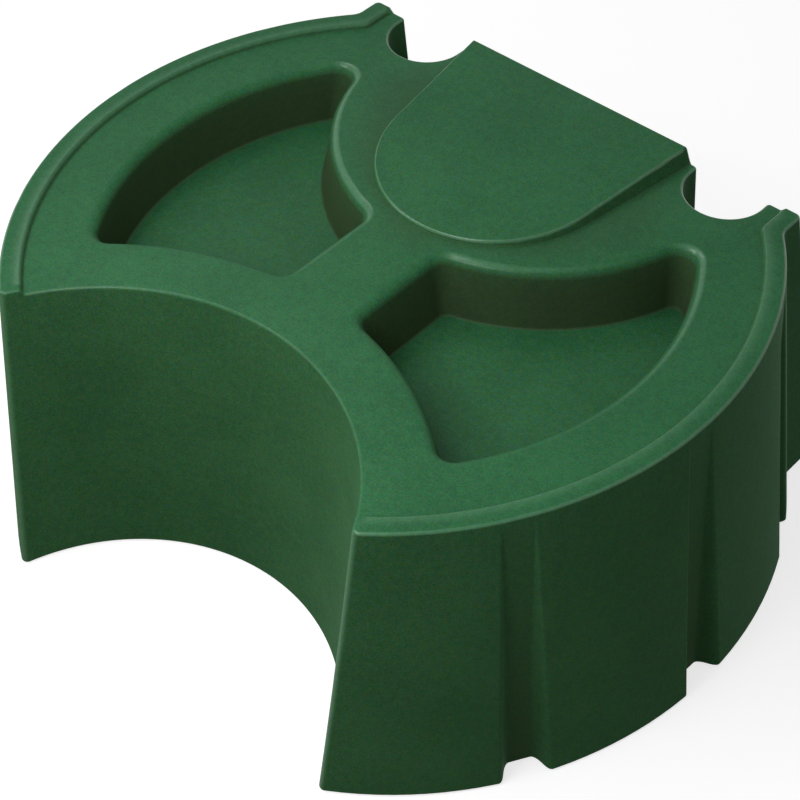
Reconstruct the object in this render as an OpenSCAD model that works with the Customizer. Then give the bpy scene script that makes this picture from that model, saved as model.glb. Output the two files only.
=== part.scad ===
// Mounting block for riders: a round, hollow plastic block with a leg-sized bite in
// front, two trays in its deck, a wedge-shaped pad and two handholds at the rear.
// Z is up, the bite faces -Y, and the origin is on the ground under the block's middle.

/* [Block] */
// Height of the deck above the ground
deck_h = 395; // [320:5:450]
// Radius of the outer wall at the top of the lip
top_r = 450; // [430:5:500]
// How far the outer wall leans out on its way down to the ground
flare = 46; // [20:1:70]
// Distance from the drum's axis to the rear face, at the top
rear_y = 338; // [325:1:360]
// How far the rear face leans out on its way down
rear_flare = 36; // [15:1:50]
// Half width across the straight flanks at the rear, at the top
flank_x = 333; // [322:1:350]
// Thickness of the moulded wall
wall = 6; // [4:0.5:9]

/* [Lip] */
// Height of the lip above the deck
lip_h = 7; // [3:0.5:15]
// Width of the lip
lip_w = 25; // [15:1:35]

/* [Bite] */
// Distance from the drum's axis to the bite's axis
bite_y = 503; // [480:1:530]
// Radius of the bite at the top
bite_top_r = 304; // [280:1:320]
// How much smaller the bite's radius is at the ground
bite_draft = 41; // [15:1:55]

/* [Handholds] */
// Radius of each handhold notch
notch_r = 51; // [40:1:55]
// Distance from the middle plane to a notch's axis
notch_x = 237; // [230:1:245]
// Distance from the rear face, at the top, to a notch's axis
notch_in = 13; // [5:1:30]

/* [Flutes] */
// Direction of the middle flute, from +X towards +Y
flute_mid_angle = -2.3; // [-6:0.1:4]
// Angle between neighbouring flutes
flute_step = 29.3; // [26:0.1:31]
// Flutes on each side
flute_count = 3; // [1:2:3]
// Width of a flute's floor
flute_w = 36; // [20:1:44]
// How far a flute's floor leans out on its way down
flute_flare = 21; // [5:1:40]
// Angle at which a flute's sides open
flute_side_angle = 23; // [5:1:40]

/* [Trays] */
// Depth of the trays below the deck
tray_depth = 76; // [30:1:110]
// Radius of the trays' outer side
tray_r = 349; // [335:1:365]
// Distance from the middle plane to a tray's straight side
tray_spine_x = 55; // [40:1:75]
// Distance from the drum's axis to the axis of the trays' side around the pad
tray_pad_y = 274; // [268:1:282]
// Radius of the trays' side around the pad
tray_pad_r = 262; // [250:1:268]
// Distance from the drum's axis to the axis of the trays' side along the bite
tray_bite_y = 515; // [500:1:530]
// Radius of the trays' side along the bite
tray_bite_r = 393; // [380:1:400]
// How far the trays' inner sides lean in on their way down
tray_draft = 15; // [2:1:20]
// How far the trays' outer side leans in on its way down
tray_rim_draft = 9; // [2:1:15]

/* [Pad] */
// Distance from the drum's axis to the axis of the pad's round front
pad_y = 188; // [180:1:196]
// Radius of the pad's round front
pad_r = 152; // [140:1:155]
// Half width of the pad at the rear face
pad_rear_x = 176; // [170:1:180]
// Height of the pad's top above the deck, at its front
pad_front_h = 5; // [2:0.5:12]
// Height of the pad's top above the deck, at the rear
pad_rear_h = 22; // [15:0.5:40]

/* [Feet] */
// Radius of a rubber foot
foot_r = 30; // [24:0.5:34]
// Thickness of a rubber foot
foot_t = 12; // [10:0.5:16]
// How far the feet stand out below the block
foot_proud = 2; // [1:0.5:4]
// Gap between a foot and its pocket
foot_gap = 0.3; // [0.2:0.1:1]
// Radius of the foot's well around the screw head
well_r = 11.5; // [11.2:0.1:13]
// Thickness of rubber between the well and the foot's top
well_floor = 4; // [3:0.5:5]
// Direction of the front feet, from +X towards -Y and from -X towards -Y
front_foot_angle = 50; // [48.5:0.5:51]
// Distance from the outer wall at the top to the front feet, inwards
front_foot_in = 6; // [4:1:10]
// Distance from the outer wall at the top to the side feet, inwards
side_foot_in = 20; // [10:1:40]
// Distance from the flank at the top to the rear feet, inwards
rear_foot_in = 3; // [-5:1:8]
// Distance from the rear face at the top to the rear feet, inwards
rear_foot_y_in = 28; // [20:1:35]
// Distance from the bite's edge at the top to the foot behind it
bite_foot_in = 9; // [0:1:30]
// Distance from the rear face at the top to the middle rear foot, inwards
mid_foot_in = 60; // [56:1:80]

/* [Foot screws] */
// Radius of a screw's thread
screw_r = 4; // [3:0.5:4]
// Length of a screw below its head
screw_l = 30; // [26:1:32]
// Radius of a screw's head
head_r = 7; // [6.5:0.5:8]
// Height of a screw's head
head_h = 4.4; // [3:0.2:4.4]
// Width across the flats of a screw's key socket
key_af = 5; // [3:0.5:6]
// Depth of a screw's key socket
key_depth = 2.6; // [1.5:0.1:2.8]
// Radius of a washer
washer_r = 11; // [9:0.5:11]
// Thickness of a washer
washer_t = 1.6; // [1:0.1:1.6]
// Radius of a threaded insert
insert_r = 6.5; // [6:0.5:8]
// Length of a threaded insert
insert_l = 22; // [16:1:22]
// Wall of moulding around and above an insert
boss_wall = 8.5; // [6:0.5:10]

/* [Bungs] */
// Height of the filler bung's axis above the ground
filler_z = 300; // [240:5:310]
// Height of the drain bung's axis above the ground
drain_z = 47; // [46:1:60]
// Radius of a bung's thread
thread_r = 22; // [16:0.5:23]
// Length of a bung's threaded shank
shank_l = 19; // [16:0.5:20]
// Radius of a bung's head
bung_r = 31; // [29:0.5:32]
// Thickness of a bung's head
bung_t = 8; // [6:0.5:10]
// Width of the square key socket in a bung
drive_w = 13; // [10:0.5:16]
// Depth of the square key socket
drive_depth = 12; // [8:0.5:14]
// Thickness of a seal
seal_t = 3; // [2:0.5:4]
// Radial width of a seal
seal_w = 7; // [4:0.5:7]
// Length of a threaded socket
socket_l = 23; // [21:0.5:25]
// Wall of a threaded socket
socket_wall = 5; // [4:0.5:6]
// Reach of the flange that locks a socket into the moulding
socket_flange = 4; // [2:0.5:5]
// Gap between a bung's head and its pocket
pocket_gap = 1.5; // [1:0.5:3]
// Distance of a bung's head below the wall's face at the pocket's top
bung_sunk = 1; // [0:0.5:3]

/* [Clearances] */
// Radial running clearance of threads and other round fits
fit_gap = 0.05; // [0.02:0.01:0.1]
// Gap between a seal and the face that it will be pressed on
seal_gap = 0.1; // [0.05:0.05:0.3]

/* [Hidden] */
$fn = 96;
rim_h = deck_h + lip_h;
past = 1;
far = 2 * top_r;

// Every wall runs straight from its size at the rim to its size at the ground.
function fall(z) = (rim_h - z) / rim_h;
function wall_r(z) = top_r + flare * fall(z);
function rear_at(z) = rear_y + rear_flare * fall(z);
function bite_r(z) = bite_top_r - bite_draft * fall(z);

// The horns' tips are where the bite crosses the wall; the block is centred on its box.
tip_y = (pow(wall_r(foot_proud), 2) + pow(bite_y, 2) - pow(bite_r(foot_proud), 2)) / (2 * bite_y);
shift_y = (tip_y - rear_at(foot_proud)) / 2;

flute_angles = [for (i = [0 : flute_count - 1]) flute_mid_angle + flute_step * (i - (flute_count - 1) / 2)];
notch_y = rear_y - notch_in;

pocket_r = foot_r + foot_gap;
// A side foot stands midway between the middle flute and the one behind it.
side_foot_angle = flute_mid_angle + flute_step / 2;
front_foot = (top_r - front_foot_in) * [cos(front_foot_angle), -sin(front_foot_angle)];
side_foot = (top_r - side_foot_in) * [cos(side_foot_angle), sin(side_foot_angle)];
rear_foot = [flank_x - rear_foot_in, rear_y - rear_foot_y_in];
feet = [
    [-front_foot[0], front_foot[1]],
    front_foot,
    [-side_foot[0], side_foot[1]],
    side_foot,
    [-rear_foot[0], rear_foot[1]],
    rear_foot,
    [0, bite_top_r - bite_y + bite_foot_in],
    [0, rear_y - mid_foot_in]
];
seat_z = foot_t - well_floor;
washer_z = seat_z - washer_t;
insert_bore_top = max(foot_t + insert_l, washer_z + screw_l) + past;

bung_pocket_r = bung_r + pocket_gap;
socket_r = thread_r + socket_wall;
function bung_floor_y(z) = rear_at(z + bung_pocket_r) - bung_sunk - bung_t - seal_t - seal_gap;

plastic = "#1f5f3c";
rubber = "#2b2b2b";
brass = "#b08d57";
steel = "#b9bcc0";

module cone(r_low, r_high, z_low, z_high) {
    translate([0, 0, z_low]) cylinder(h = z_high - z_low, r1 = r_low, r2 = r_high);
}

module tube(r_out, r_in, h) {
    difference() {
        cylinder(h = h, r = r_out);
        translate([0, 0, -past]) cylinder(h = h + 2 * past, r = r_in);
    }
}

// All that lies to the left of a plane which leans out to +X on its way down.
module leaning_half(x_rim, lean) {
    translate([x_rim, 0, rim_h]) rotate([0, -atan(lean / rim_h), 0])
        translate([-2 * far, -far, -far]) cube([2 * far, 2 * far, 2 * far]);
}

module both_sides() {
    children();
    mirror([1, 0, 0]) children();
}

// Drum with its straight flanks and flat rear, set in evenly from the outside.
module drum(inset, z_low, z_high) {
    intersection() {
        union() {
            cone(wall_r(z_low) - inset, wall_r(z_high) - inset, z_low, z_high);
            intersection() {
                translate([-far, 0, z_low]) cube([2 * far, far, z_high - z_low]);
                leaning_half(flank_x - inset, flare);
                mirror([1, 0, 0]) leaning_half(flank_x - inset, flare);
            }
        }
        rotate([0, 0, 90]) leaning_half(rear_y - inset, rear_flare);
    }
}

module bite(inset) {
    translate([0, -bite_y, 0]) cone(bite_r(-past) + inset, bite_r(rim_h + past) + inset, -past, rim_h + past);
}

module notch(inset) {
    translate([notch_x, notch_y, -past]) {
        cylinder(h = rim_h + 2 * past, r = notch_r + inset);
        translate([-notch_r - inset, 0, 0]) cube([2 * (notch_r + inset), far, rim_h + 2 * past]);
    }
}

// A flute is a slot with a flat floor that leans out less than the wall does.
module flute(angle, inset) {
    depth = 2 * flare + inset;
    half_floor = flute_w / 2 + inset;
    half_mouth = half_floor + depth * tan(flute_side_angle);
    rotate([0, 0, angle]) translate([top_r + flute_flare - inset, 0, 0])
        rotate([0, -atan(flute_flare / rim_h), 0]) translate([0, 0, -rim_h / 2])
            linear_extrude(height = 2 * rim_h)
                polygon([[0, -half_floor], [depth, -half_mouth], [depth, half_mouth], [0, half_floor]]);
}

// A tray lies between the outer side, the straight side, the side around the pad and the bite's side.
module tray(inset) {
    z_low = deck_h - tray_depth - inset;
    z_high = rim_h + past;
    lean_low = (deck_h - z_low) / tray_depth;
    lean_high = (deck_h - z_high) / tray_depth;
    difference() {
        intersection() {
            cone(tray_r + inset - tray_rim_draft * lean_low, tray_r + inset - tray_rim_draft * lean_high,
                z_low, z_high);
            translate([tray_spine_x - inset, 0, deck_h]) rotate([0, -atan(tray_draft / tray_depth), 0])
                translate([0, -far / 2, -deck_h]) cube([far, far, 2 * deck_h]);
        }
        translate([0, tray_pad_y, 0]) cone(tray_pad_r - inset + tray_draft * lean_low,
            tray_pad_r - inset + tray_draft * lean_high, z_low - past, z_high + past);
        translate([0, -tray_bite_y, 0]) cone(tray_bite_r - inset + tray_draft * lean_low,
            tray_bite_r - inset + tray_draft * lean_high, z_low - past, z_high + past);
    }
}

// The outside of the block, or with an inset the hollow in it.
module shell(inset) {
    difference() {
        drum(inset, foot_proud + inset, inset == 0 ? rim_h : deck_h - inset);
        bite(inset);
        both_sides() {
            notch(inset);
            for (angle = flute_angles) flute(angle, inset);
            tray(inset);
        }
    }
}

module deck_recess() {
    translate([0, 0, deck_h]) {
        cylinder(h = lip_h + past, r = top_r - lip_w);
        translate([lip_w - flank_x, 0, 0]) cube([2 * (flank_x - lip_w), far, lip_h + past]);
    }
}

// The pad: a round front and sides that spread to the rear, cut off by a sloping top.
module pad(inset) {
    slope = atan((pad_rear_h - pad_front_h) / (rear_y - pad_y + pad_r));
    lean = atan((pad_rear_x - pad_r) / (rear_y - pad_y));
    r = pad_r - inset;
    intersection() {
        translate([0, 0, deck_h - wall - past]) {
            translate([0, pad_y, 0]) cylinder(h = far, r = r);
            linear_extrude(height = far) polygon([
                [-r * cos(lean), pad_y - r * sin(lean)], [r * cos(lean), pad_y - r * sin(lean)],
                [pad_rear_x - inset, rear_y - inset], [inset - pad_rear_x, rear_y - inset]
            ]);
        }
        translate([0, pad_y - pad_r, deck_h + pad_front_h - inset]) rotate([slope, 0, 0])
            translate([-far / 2, -far / 2, -deck_h]) cube([far, far, deck_h]);
    }
}

module foot_bosses() {
    for (at = feet) translate([at[0], at[1], 0]) {
        cylinder(h = foot_t + wall, r = pocket_r + wall);
        cylinder(h = insert_bore_top + wall, r = insert_r + boss_wall);
    }
}

module foot_holes() {
    for (at = feet) translate([at[0], at[1], 0]) {
        translate([0, 0, -past]) cylinder(h = foot_t + past, r = pocket_r);
        cylinder(h = foot_t + insert_l, r = insert_r + fit_gap);
        cylinder(h = insert_bore_top, r = screw_r + fit_gap);
    }
}

// Puts a piece of a bung's set, drawn along +Z, on its axis with Z = 0 on the pocket's floor.
module at_port(z) {
    translate([0, bung_floor_y(z), z]) rotate([-90, 0, 0]) children();
}

module port_boss() {
    translate([0, 0, -socket_l]) cylinder(h = far, r = bung_pocket_r + wall);
}

module port_holes() {
    cylinder(h = far, r = bung_pocket_r);
    socket_outside(fit_gap, past);
}

module socket_outside(gap, extra) {
    translate([0, 0, -socket_l - extra]) cylinder(h = socket_l + 2 * extra, r = socket_r + gap);
    translate([0, 0, -(socket_l + socket_wall) / 2 - gap]) cylinder(h = socket_wall + 2 * gap,
        r = socket_r + socket_flange + gap);
}

// The moulding: rotationally moulded in one hollow piece, closed underneath.
module block_body() {
    color(plastic) translate([0, shift_y, 0]) difference() {
        union() {
            difference() {
                shell(0);
                deck_recess();
            }
            pad(0);
        }
        difference() {
            union() {
                shell(wall);
                pad(wall);
            }
            foot_bosses();
            at_port(filler_z) port_boss();
            at_port(drain_z) port_boss();
        }
        foot_holes();
        at_port(filler_z) port_holes();
        at_port(drain_z) port_holes();
    }
}

// Threaded socket, moulded into the rear wall and locked there by its flange.
module bung_socket(z) {
    color(brass) translate([0, shift_y, 0]) at_port(z) difference() {
        socket_outside(0, 0);
        translate([0, 0, -socket_l - past]) cylinder(h = socket_l + 2 * past, r = thread_r);
    }
}

module bung_seal(z) {
    color(rubber) translate([0, shift_y, 0]) at_port(z) translate([0, 0, seal_gap])
        tube(thread_r + fit_gap + seal_w, thread_r + fit_gap, seal_t);
}

module bung(z) {
    color(plastic) translate([0, shift_y, 0]) at_port(z) translate([0, 0, seal_gap + seal_t]) difference() {
        union() {
            cylinder(h = bung_t, r = bung_r);
            translate([0, 0, -shank_l]) cylinder(h = shank_l + past, r = thread_r - fit_gap);
        }
        translate([-drive_w / 2, -drive_w / 2, bung_t - drive_depth]) cube([drive_w, drive_w, drive_depth + past]);
    }
}

module filler_socket() { bung_socket(filler_z); }
module filler_seal() { bung_seal(filler_z); }
module filler_bung() { bung(filler_z); }
module drain_socket() { bung_socket(drain_z); }
module drain_seal() { bung_seal(drain_z); }
module drain_bung() { bung(drain_z); }

// Places a piece under the block at one foot's centre.
module at_foot(i) {
    translate([feet[i][0], feet[i][1] + shift_y, 0]) children();
}

// Rubber foot with a well for the washer and the screw's head.
module foot(i) {
    color(rubber) at_foot(i) difference() {
        cylinder(h = foot_t, r = foot_r);
        translate([0, 0, -past]) cylinder(h = seat_z + past, r = well_r);
        translate([0, 0, -past]) cylinder(h = foot_t + 2 * past, r = screw_r + fit_gap);
    }
}

module foot_front_left() { foot(0); }
module foot_front_right() { foot(1); }
module foot_side_left() { foot(2); }
module foot_side_right() { foot(3); }
module foot_rear_left() { foot(4); }
module foot_rear_right() { foot(5); }
module foot_bite() { foot(6); }
module foot_middle() { foot(7); }

module foot_inserts() {
    color(brass) for (i = [0 : len(feet) - 1]) at_foot(i) translate([0, 0, foot_t])
        tube(insert_r, screw_r + fit_gap, insert_l);
}

module foot_screws() {
    color(steel) for (i = [0 : len(feet) - 1]) at_foot(i) translate([0, 0, washer_z]) difference() {
        union() {
            cylinder(h = screw_l, r = screw_r);
            translate([0, 0, -head_h]) cylinder(h = head_h, r = head_r);
        }
        translate([0, 0, -head_h - past]) cylinder(h = key_depth + past, d = key_af / cos(30), $fn = 6);
    }
}

module foot_washers() {
    color(steel) for (i = [0 : len(feet) - 1]) at_foot(i) translate([0, 0, washer_z])
        tube(washer_r, screw_r + fit_gap, washer_t);
}

block_body();
filler_socket();
filler_seal();
filler_bung();
drain_socket();
drain_seal();
drain_bung();
foot_front_left();
foot_front_right();
foot_side_left();
foot_side_right();
foot_rear_left();
foot_rear_right();
foot_bite();
foot_middle();
foot_inserts();
foot_screws();
foot_washers();
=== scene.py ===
import bpy
import numpy as np
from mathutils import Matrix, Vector
from mathutils.geometry import delaunay_2d_cdt


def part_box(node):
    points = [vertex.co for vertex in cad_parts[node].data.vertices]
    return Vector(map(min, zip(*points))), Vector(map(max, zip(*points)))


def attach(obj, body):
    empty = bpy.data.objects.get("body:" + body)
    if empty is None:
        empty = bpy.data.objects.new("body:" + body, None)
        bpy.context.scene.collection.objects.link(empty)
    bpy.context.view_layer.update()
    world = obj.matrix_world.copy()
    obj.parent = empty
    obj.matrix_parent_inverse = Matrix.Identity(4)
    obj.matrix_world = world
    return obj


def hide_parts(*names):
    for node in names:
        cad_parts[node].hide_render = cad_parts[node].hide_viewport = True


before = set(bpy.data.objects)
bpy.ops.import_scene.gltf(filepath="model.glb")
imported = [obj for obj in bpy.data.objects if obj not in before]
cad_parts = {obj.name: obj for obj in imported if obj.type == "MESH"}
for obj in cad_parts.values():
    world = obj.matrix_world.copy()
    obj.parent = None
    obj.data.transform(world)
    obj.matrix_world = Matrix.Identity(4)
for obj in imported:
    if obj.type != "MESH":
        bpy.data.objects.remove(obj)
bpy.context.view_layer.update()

# ---- Moulding, walls ----------------------------------------------------------------
# One hollow body of green polyethylene, turned in an oven until the powder has coated the
# mould, so that every wall leans out on its way down and every edge is rounded. Its outline
# is a drum with a leg-sized bite in front, straight flanks, a flat rear and two handholds.

deck_z = 0.395
lip_top = 0.402
ground_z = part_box("block_body")[0].z
drum_r, drum_lean = 0.450, 0.046
flank_x, rear_y, rear_lean = 0.336, 0.338, 0.036
bite_y, bite_r, bite_lean = 0.503, 0.304, 0.041
grip_x, grip_y, grip_r = 0.237, 0.325, 0.051
horn_r, corner_r, grip_corner_r, flank_blend_r = 0.0080, 0.0080, 0.0052, 0.020
flute_angles = np.radians([-31.6, -2.3, 27.0])
flute_half, flute_reach, flute_lean = 0.018, 0.038, 0.021
flute_spread = np.tan(np.radians(23))
flute_floor_reach, flute_edge_reach = 0.013, 0.010
lip_from_r, lip_to_r = 0.4195, 0.4315
rear_split_x, panel_x = 0.150, 0.060


def fall(z):
    """How far down a height is: 0 at the lip's top and 1 at the ground."""
    return (lip_top - np.minimum(z, lip_top)) / lip_top


middle_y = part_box("block_body")[1].y - rear_y - rear_lean * fall(ground_z)


def soft_min(a, b, reach):
    """The smaller of two numbers, rounded off where they come within reach of each other:
    the minimum less the square of what is left of the reach over four reaches."""
    near = np.maximum(reach - np.abs(a - b), 0)
    return np.minimum(a, b) - near**2 / (4 * reach)


def soft_max(a, b, reach):
    """The larger of two numbers, rounded off in the same way."""
    return -soft_min(-a, -b, reach)


def side_point(r1, r2, apart):
    """Where circles of radius r1 about the origin and r2 about a point at that distance
    along an axis cross: the distance along the axis and the distance from it, by the law
    of cosines."""
    along = (r1**2 + apart**2 - r2**2) / (2 * apart)
    return along, np.sqrt(np.maximum(r1**2 - along**2, 0))


def on_circle(x, y, r, start, end, t):
    """Centre plus radius times (cosine, sine) of an angle that runs from start to end."""
    a = start + (end - start) * t
    return x + r * np.cos(a), y + r * np.sin(a)


def between(a, b, t):
    """A straight run from a to b."""
    return a[0] + (b[0] - a[0]) * t, a[1] + (b[1] - a[1]) * t


# Columns of the right half of the outline, from the bite's middle round to the rear's
# middle: how many each stretch has.
stretches = {
    "bite": 40, "bite_lip": 16, "bite_rim": 10, "horn": 14, "drum_0": 10, "flute_0": 52, "drum_1": 10,
    "flute_1": 52, "drum_2": 10, "flute_2": 52, "drum_3": 9, "blend": 9, "flank": 3, "corner": 9,
    "rear_0": 5, "grip_in": 8, "slot_0": 3, "grip": 34, "slot_1": 3, "grip_out": 8, "rear_1": 26,
    "rear_2": 8, "centre": 6,
}
starts = dict(zip(stretches, np.cumsum([0] + list(stretches.values()))))
columns = sum(stretches.values()) + 1


def outline(z, inset):
    """Right half of the outline at heights z, moved in by inset; both have one value per row
    and column. Arcs of the bite, the drum and the handhold and straight runs of the flank
    and the rear follow each other, joined by fillets whose centres are their two sides'
    distances plus or minus the fillet's radius away."""
    down = fall(z)
    drum = drum_r + drum_lean * down
    flank = flank_x + drum_lean * down
    rear = rear_y + rear_lean * down
    bite = bite_r - bite_lean * down
    out = np.empty(z.shape + (2,))
    quarter = np.pi / 2
    horn_down, horn_x = side_point(drum - horn_r, bite + horn_r, bite_y)
    horn_angle = np.arctan2(-horn_down, horn_x)
    blend_x = flank + flank_blend_r
    blend_y = np.sqrt((drum + flank_blend_r) ** 2 - blend_x**2)
    grip_far, grip_near = grip_x + grip_r + grip_corner_r, grip_x - grip_r - grip_corner_r

    def lip_crossing(q, radius):
        return np.arcsin(np.clip((q**2 + bite_y**2 - radius**2) / (2 * bite_y * q), -1, 1))

    for name, count in stretches.items():
        last = name == "centre"
        part = slice(starts[name], starts[name] + count + last)
        t = np.arange(count + last) / count
        d = inset[:, part]
        r, f, b, q = drum[:, part], flank[:, part], rear[:, part], bite[:, part] + d
        hx, hy, ha = horn_x[:, part], -horn_down[:, part], horn_angle[:, part]
        bx, by = blend_x[:, part], blend_y[:, part]
        on_bite = [np.full_like(q, quarter), lip_crossing(q, lip_from_r), lip_crossing(q, lip_to_r),
                   np.arctan2(hy + bite_y, hx)]
        round_drum = [ha] + [a + s * np.arcsin(flute_reach / (r - d)) for a in flute_angles for s in (-1, 1)]
        round_drum.append(np.arctan2(by, bx))
        if name in ("bite", "bite_lip", "bite_rim"):
            i = ("bite", "bite_lip", "bite_rim").index(name)
            xy = on_circle(0, -bite_y, q, on_bite[i], on_bite[i + 1], t)
        elif name == "horn":
            xy = on_circle(hx, hy, horn_r - d, np.arctan2(-bite_y - hy, -hx), ha, t)
        elif name.startswith("drum"):
            i = 2 * int(name[-1])
            xy = on_circle(0, 0, r - d, round_drum[i], round_drum[i + 1], t)
        elif name.startswith("flute"):
            xy = flute_points(r, d, z[:, part], flute_angles[int(name[-1])], (2 * t - 1) * flute_reach)
        elif name == "blend":
            xy = on_circle(bx, by, flank_blend_r + d, np.arctan2(by, bx) + np.pi, np.pi, t)
        elif name == "flank":
            xy = between((f - d, by), (f - d, b - corner_r), t)
        elif name == "corner":
            xy = on_circle(f - corner_r, b - corner_r, corner_r - d, 0, quarter, t)
        elif name == "rear_0":
            xy = between((f - corner_r, b - d), (grip_far, b - d), t)
        elif name == "grip_in":
            xy = on_circle(grip_far, b - grip_corner_r, grip_corner_r - d, quarter, np.pi, t)
        elif name == "slot_0":
            xy = between((grip_x + grip_r + d, b - grip_corner_r), (grip_x + grip_r + d, grip_y + 0 * d), t)
        elif name == "grip":
            xy = on_circle(grip_x, grip_y, grip_r + d, 0, -np.pi, t)
        elif name == "slot_1":
            xy = between((grip_x - grip_r - d, grip_y + 0 * d), (grip_x - grip_r - d, b - grip_corner_r), t)
        elif name == "grip_out":
            xy = on_circle(grip_near, b - grip_corner_r, grip_corner_r - d, 0, quarter, t)
        elif name == "rear_1":
            xy = between((grip_near, b - d), (rear_split_x, b - d), t)
        elif name == "rear_2":
            xy = between((rear_split_x, b - d), (panel_x, b - d), t)
        else:
            xy = between((panel_x, b - d), (0, b - d), t)
        out[:, part, 0], out[:, part, 1] = xy
    return out


def flute_points(r, d, z, angle, across):
    """A flute's cross-section in its own axes: the drum's circle, soft minimum with a flat
    floor that opens in straight sides, turned to the flute's direction. Its corners are
    sharper where it runs out towards the lip."""
    floor = drum_r + flute_lean * fall(z)
    depth = np.maximum(r - floor, 1e-5)
    wall = np.sqrt((r - d) ** 2 - across**2)
    side = floor - d + (np.abs(across) - flute_half) / flute_spread
    groove = soft_max(floor - d + 0 * side, side, np.minimum(flute_floor_reach, depth))
    x = soft_min(wall, groove, np.minimum(flute_edge_reach, 0.6 * depth))
    return x * np.cos(angle) - across * np.sin(angle), x * np.sin(angle) + across * np.cos(angle)


# ---- Moulding, deck -----------------------------------------------------------------
# The top is one skin with the walls: a level deck, a low lip round its outside that keeps a
# boot from slipping off, and a wedge-shaped pad at the rear that rises towards the saddle.

lip_r, lip_flank_x, lip_h = 0.425, 0.311, 0.007
lip_blend_r, lip_start, lip_slope, lip_top_reach = 0.016, 0.0018, 2.2, 0.0040
pad_y, pad_r, pad_rear_x, pad_front_h, pad_rear_h = 0.188, 0.152, 0.176, 0.005, 0.022
pad_start, pad_slope, pad_top_reach = 0.0004, 2.75, 0.0034
foot_reach = 0.0020
pad_side = np.arctan2(rear_y - pad_y, pad_rear_x) - np.arccos(pad_r / np.hypot(pad_rear_x, rear_y - pad_y))
lip_corner = np.array([lip_flank_x + lip_blend_r,
                       np.sqrt((lip_r + lip_blend_r) ** 2 - (lip_flank_x + lip_blend_r) ** 2)])


def past_lip(x, y):
    """Distance outwards from the lip's inner line, which is a circle, then a fillet about the
    lip's corner, then a straight run along the flank."""
    vx, vy = np.abs(x) - lip_corner[0], y - lip_corner[1]
    in_blend = (vy <= 0) & (vy * lip_corner[0] - vx * lip_corner[1] >= 0) & (vx < 0)
    along_flank = (y > 0) & (vy > 0)
    round_drum = np.hypot(x, y) - lip_r
    beside = np.where(along_flank, vx + lip_blend_r, round_drum)
    return np.where(in_blend, lip_blend_r - np.hypot(vx, vy), beside)


def inside_pad(x, y):
    """Distance inwards from the pad's foot, which is a circle in front and its two tangents
    to the rear."""
    px, py = np.abs(x), y - pad_y
    across = px * np.cos(pad_side) + py * np.sin(pad_side)
    along = py * np.cos(pad_side) - px * np.sin(pad_side)
    return pad_r - np.where(along > 0, across, np.hypot(px, py))


def deck_height(x, y):
    """The deck, plus the lip's ramp cut off softly at its top, plus the pad's steep side cut
    off softly by its sloping top."""
    lip = soft_min((past_lip(x, y) + lip_start) * lip_slope, lip_h, lip_top_reach)
    top = pad_front_h + (pad_rear_h - pad_front_h) * (y - pad_y + pad_r) / (rear_y - pad_y + pad_r)
    pad = soft_min((inside_pad(x, y) + pad_start) * pad_slope, top, pad_top_reach)
    return deck_z + soft_max(0, lip, foot_reach) + soft_max(0, pad, foot_reach)


# Rows of the wall: the foot's fillet, the straight wall, and the fillet under the deck's
# edge, which starts where the leaning wall meets it and is smaller under the pad.
foot_edge_r, wall_lean = 0.0026, 0.105
deck_edge_r = np.interp(np.arange(columns), starts["rear_1"] + np.array([0, 8]), [0.0045, 0.0030])
turn = np.linspace(0, np.pi / 2, 6)
foot_in, foot_up = foot_edge_r * (1 - np.sin(turn)), foot_edge_r * (1 - np.cos(turn))
rise = np.array([0.08, 0.18, 0.3, 0.42, 0.54, 0.65, 0.74, 0.81, 0.86, 0.9, 0.93, 0.955, 0.975, 0.99])
turn = np.linspace(wall_lean, np.pi / 2, 9)
edge_in = deck_edge_r * (np.cos(wall_lean) - np.cos(turn))[:, None]
edge_up = deck_edge_r * (np.sin(turn) - np.sin(wall_lean))[:, None]
rows = len(foot_up) + len(rise) + len(edge_up)

rim = outline(np.full((1, columns), lip_top), edge_in[-1:])[0]
rim_z = deck_height(rim[:, 0], rim[:, 1])
edge_z = rim_z - edge_up[-1]
low_z = ground_z + foot_edge_r
wall_z = np.concatenate([
    np.repeat(ground_z + foot_up[:, None], columns, 1),
    low_z + (edge_z - low_z) * rise[:, None],
    edge_z + edge_up,
])
wall_inset = np.concatenate([np.repeat(np.concatenate([foot_in, 0 * rise])[:, None], columns, 1), edge_in])
half = outline(np.minimum(wall_z, np.maximum(edge_z, ground_z)), wall_inset)
half = np.concatenate([half, wall_z[..., None]], -1)
half[:, 0, 0] = half[:, -1, 0] = 0
wall = np.concatenate([half, half[:, -2:0:-1] * [-1, 1, 1]], 1)


def across_edge(count):
    """How worn a rounded edge is from one side of it to the other: a parabola that is 1 in
    the middle and 0 at both ends."""
    return 1 - np.linspace(-1, 1, count) ** 2


# Wear and painted light: upright edges are paled a little, partly as wear and partly as painted
# highlight, the rim more past the horn than along the bite; the flutes' floors are darkened
# towards the ground as painted shade.
bite_wear_and_highlight, lip_wear_and_highlight, upright_wear_and_highlight, flute_painted_shade, flute_floor_from = 0.50, 0.90, 0.5, -0.45, 0.6
wear_and_painted_light = np.zeros((rows, columns))
for name in ("horn", "corner", "grip_in", "grip_out"):
    along = slice(starts[name], starts[name] + stretches[name] + 1)
    wear_and_painted_light[:, along] = upright_wear_and_highlight * across_edge(stretches[name] + 1)
for name in ("flute_0", "flute_1", "flute_2"):
    along = slice(starts[name], starts[name] + stretches[name] + 1)
    floor_part = np.maximum(0, across_edge(stretches[name] + 1) - flute_floor_from)
    wear_and_painted_light[:, along] = flute_painted_shade * floor_part / (1 - flute_floor_from) * fall(wall_z[:, along])
horn_columns = starts["horn"] + np.array([0, stretches["horn"]])
rim_wear_and_highlight = np.interp(np.arange(columns), horn_columns, [bite_wear_and_highlight, lip_wear_and_highlight])
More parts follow.
